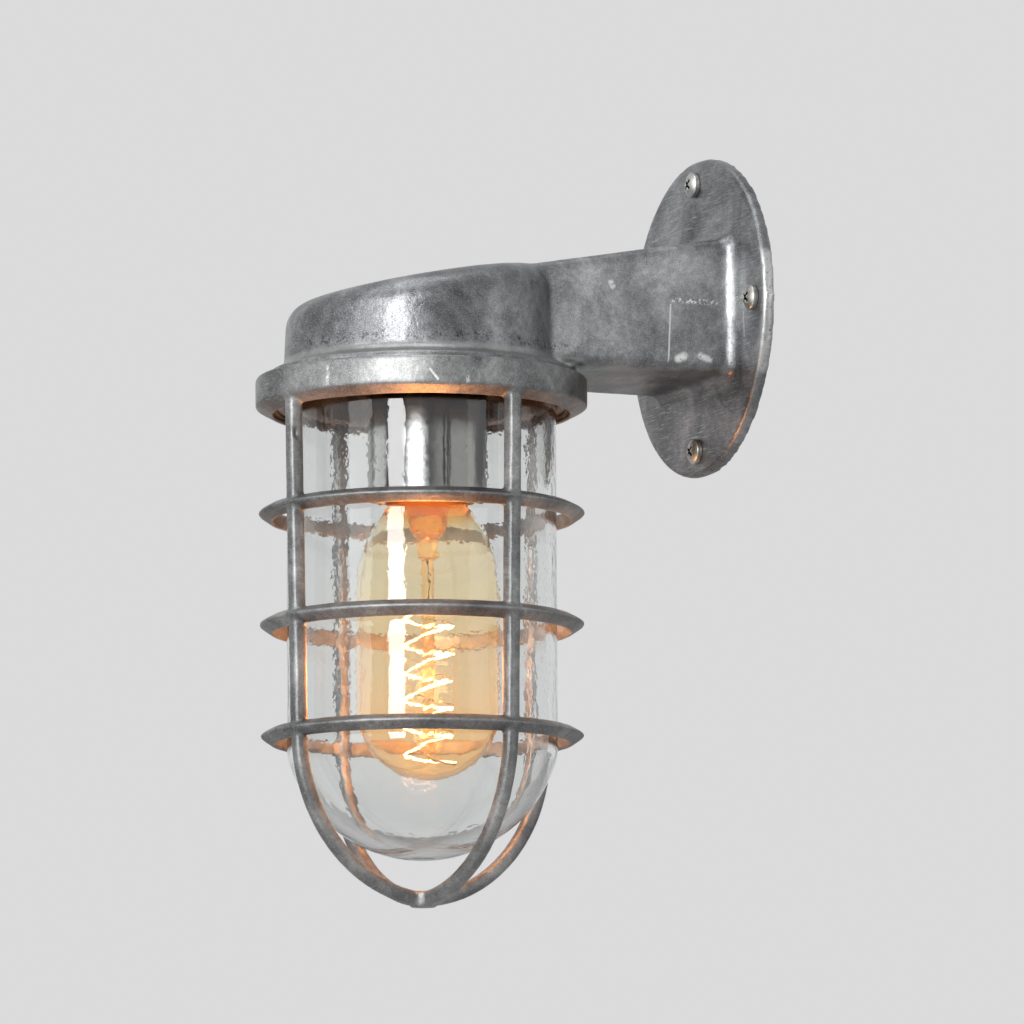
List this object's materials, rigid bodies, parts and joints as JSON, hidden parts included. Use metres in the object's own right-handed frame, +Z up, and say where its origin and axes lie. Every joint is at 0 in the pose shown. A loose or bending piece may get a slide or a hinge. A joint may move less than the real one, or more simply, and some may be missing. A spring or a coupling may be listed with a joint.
{
  "type": "cage wall light",
  "caption": "outdoor wall light with a round wall plate, a hollow arm, a sloping cast hood and a barred guard round a domed clear glass jar with a tubular filament lamp",
  "frame": {"origin": "centre of the wall plate's back face, in the plane of the wall", "axes": "+Y points into the wall, -Y out into the room, +Z is up, and the lamp's axis is parallel to Z at y = -0.099"},
  "size_m": [0.104, 0.1534, 0.242],
  "materials": {
    "cast_aluminium": "raw cast, satin",
    "plated_screws": "zinc plated",
    "plated_sheet": "zinc plated",
    "bright_sleeve": "polished",
    "brass": "bright",
    "brass_shell": "nickel-toned",
    "terminal_moulding": "moulded",
    "glazed_insulator": "plain fired",
    "earth_insulation": "flexible insulation",
    "live_insulation": "flexible insulation",
    "neutral_insulation": "flexible insulation",
    "seal_rubber": "matt",
    "clear_glass": "clear",
    "amber_glass": "amber tint",
    "mount_glass": "amber tint",
    "cap_metal": "plated",
    "cap_insulation": "black glass",
    "solder": "tinned",
    "lead_metal": "drawn wire",
    "filament_glow": "glowing wire"
  },
  "bodies": {
    "fixture": {"housing": "cast_aluminium", "wall_screws": "plated_screws", "terminal_block": "terminal_moulding", "terminal_sleeves": "brass", "terminal_screws": "plated_screws", "terminal_fixing_screw": "plated_screws", "earth_screw": "brass", "earth_lug": "plated_sheet", "earth_wire": "earth_insulation", "live_wire": "live_insulation", "neutral_wire": "neutral_insulation", "holder_strap": "plated_sheet", "strap_screws": "plated_screws", "holder_stem": "brass", "stem_nut": "plated_sheet", "holder_sleeve": "bright_sleeve", "holder_body": "glazed_insulator", "screw_shell": "brass_shell", "centre_contact": "brass"},
    "jar_seal": {"jar_gasket": "seal_rubber"},
    "jar": {"glass_jar": "clear_glass"},
    "guard_seal": {"guard_gasket": "seal_rubber"},
    "guard": {"guard_cage": "cast_aluminium"},
    "lamp_foot": {"foot_contact": "solder"},
    "lamp": {"lamp_glass": "amber_glass", "lamp_cap": "cap_metal", "cap_insulator": "cap_insulation", "lamp_mount": "mount_glass", "lead_wires": "lead_metal", "filament_supports": "lead_metal", "filament": "filament_glow"}
  },
  "joints": [
    {"name": "guard_lower", "type": "slide", "parent": "fixture", "child": "guard_seal", "axis": [0, 0, -1], "range_m": [0, 0.19]},
    {"name": "guard_turn", "type": "hinge", "parent": "guard_seal", "child": "guard", "pos_m": [0, -0.099, -0.03], "axis": [0, 0, -1], "continuous": true},
    {"name": "jar_lower", "type": "slide", "parent": "fixture", "child": "jar_seal", "axis": [0, 0, -1], "range_m": [0, 0.006]},
    {"name": "jar_turn", "type": "hinge", "parent": "jar_seal", "child": "jar", "pos_m": [0, -0.099, -0.03], "axis": [0, 0, -1], "range_deg": [0, 540]},
    {"name": "lamp_lower", "type": "slide", "parent": "fixture", "child": "lamp_foot", "axis": [0, 0, -1], "range_m": [0, 0.01816]},
    {"name": "lamp_turn", "type": "hinge", "parent": "lamp_foot", "child": "lamp", "pos_m": [0, -0.097, -0.05], "axis": [0, 0, -1], "range_deg": [0, 1800]}
  ],
  "couplings": [
    {"joint": "jar_lower", "follows": "jar_turn", "m_per_rad": 0.00063662},
    {"joint": "lamp_lower", "follows": "lamp_turn", "m_per_rad": 0.00057773}
  ]
}
